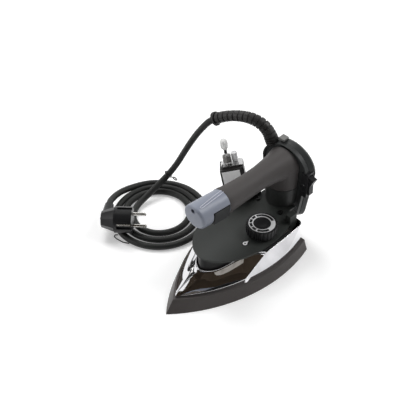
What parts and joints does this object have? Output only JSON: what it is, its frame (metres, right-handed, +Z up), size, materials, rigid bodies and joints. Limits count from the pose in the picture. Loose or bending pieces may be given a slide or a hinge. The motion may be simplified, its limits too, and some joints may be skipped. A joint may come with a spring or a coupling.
{
  "type": "gravity feed steam iron",
  "caption": "Industrial gravity feed steam iron: cast sole, bright cover, closed handle, thermostat dial, solenoid steam valve, coiled cord with earthed plug.",
  "frame": {"origin": "middle of the sole's length, in its bottom face, on the centre line", "axes": "+Z up, -Y towards the sole's tip, +X towards the side with the dial"},
  "size_m": [0.2673, 0.2305, 0.1701],
  "materials": {
    "cast_sole": "satin cast aluminium, grey brown",
    "steel_tube": "heating tube, oxidised",
    "plated": "zinc plated steel",
    "gasket": "matt seal",
    "chrome_cover": "polished",
    "black_plastic": "fine matt",
    "deck_plastic": "fine matt",
    "handle_plastic": "soft matt",
    "nose_plastic": "satin lavender grey",
    "gloss_black": "gloss",
    "insulation": "mica board",
    "ceramic": "glazed",
    "white_print": "satin",
    "bright_ring": "satin",
    "grey_plastic": "satin",
    "cord_rubber": "matt",
    "relief_rubber": "matt",
    "brass_parts": "machined",
    "chrome_parts": "polished",
    "red_plastic": "satin",
    "copper_pipe": "drawn copper"
  },
  "bodies": {
    "iron": {"soleplate": "cast_sole", "heating_element": "steel_tube", "element_terminals": "plated", "chamber_gasket": "gasket", "chamber_cover": "plated", "chamber_screws": "plated", "deck_studs": "plated", "base_cover": "chrome_cover", "neck_spacer": "black_plastic", "insulation_sheet": "insulation", "body_plate": "deck_plastic", "deck_screws": "gloss_black", "thermostat": "ceramic", "thermal_cutout": "black_plastic", "dial_pointer": "white_print", "handle_post": "handle_plastic", "handle_grip": "handle_plastic", "handle_bolts": "plated", "nose_cap": "nose_plastic", "nose_screw": "gloss_black", "lever_pin": "plated", "lever_spring": "plated", "microswitch": "black_plastic", "rear_flange": "black_plastic", "rear_cover": "black_plastic", "rear_cover_screws": "plated", "terminal_block": "ceramic", "switch_frame": "black_plastic", "rocker_pin": "plated", "gland_block": "grey_plastic", "strain_relief": "relief_rubber", "cord_stretch": "cord_rubber", "cord_coil": "cord_rubber", "cord_lead": "cord_rubber", "plug_body": "cord_rubber", "plug_pins": "plated", "plug_earth_clips": "plated", "cord_ties": "gloss_black", "valve_bracket": "black_plastic", "valve_body": "brass_parts", "valve_coil": "gloss_black", "valve_yoke": "plated", "valve_label": "white_print", "valve_core_tube": "plated", "plunger_spring": "plated", "valve_nut": "grey_plastic", "inlet_barb": "chrome_parts", "steam_pipe": "copper_pipe", "switch_leads": "red_plastic"},
    "dial": {"dial_knob": "black_plastic", "dial_ring": "bright_ring", "thermostat_shaft": "plated"},
    "steam_lever_body": {"steam_lever": "gloss_black"},
    "microswitch_plunger": {"microswitch_button": "red_plastic"},
    "rocker_body": {"rocker": "gloss_black"},
    "flow_knob_body": {"flow_knob": "chrome_parts"},
    "valve_armature": {"valve_plunger": "plated"}
  },
  "joints": [
    {"name": "dial_turn", "type": "hinge", "parent": "iron", "child": "dial", "pos_m": [0.0255, 0.041, 0.06], "axis": [0, 0, 1], "range_deg": [-270, 0]},
    {"name": "lever_press", "type": "hinge", "parent": "iron", "child": "steam_lever_body", "pos_m": [0.0085, -0.01094, 0.12603], "axis": [0, 0.1167, 0.9932], "range_deg": [-4, 0], "stiffness_Nm_per_rad": 0.3, "springref_deg": 5.73, "deforming": ["lever_spring"]},
    {"name": "microswitch_press", "type": "slide", "parent": "iron", "child": "microswitch_plunger", "axis": [-1, 0, 0], "range_m": [0, 0.0014]},
    {"name": "rocker_tip", "type": "hinge", "parent": "iron", "child": "rocker_body", "pos_m": [0.0338, 0.1165, 0.099], "axis": [0, 1, 0], "range_deg": [-20, 0]},
    {"name": "flow_turn", "type": "hinge", "parent": "iron", "child": "flow_knob_body", "pos_m": [-0.05609, 0.07667, 0.11286], "axis": [-0.2756, 0, 0.9613], "range_deg": [0, 360]},
    {"name": "valve_lift", "type": "slide", "parent": "iron", "child": "valve_armature", "axis": [-0.2756, 0, 0.9613], "range_m": [0, 0.002], "stiffness_N_per_m": 150, "springref_m": -0.004, "deforming": ["plunger_spring"]}
  ],
  "couplings": [
    {"joint": "microswitch_press", "follows": "lever_press", "m_per_rad": -0.019}
  ]
}
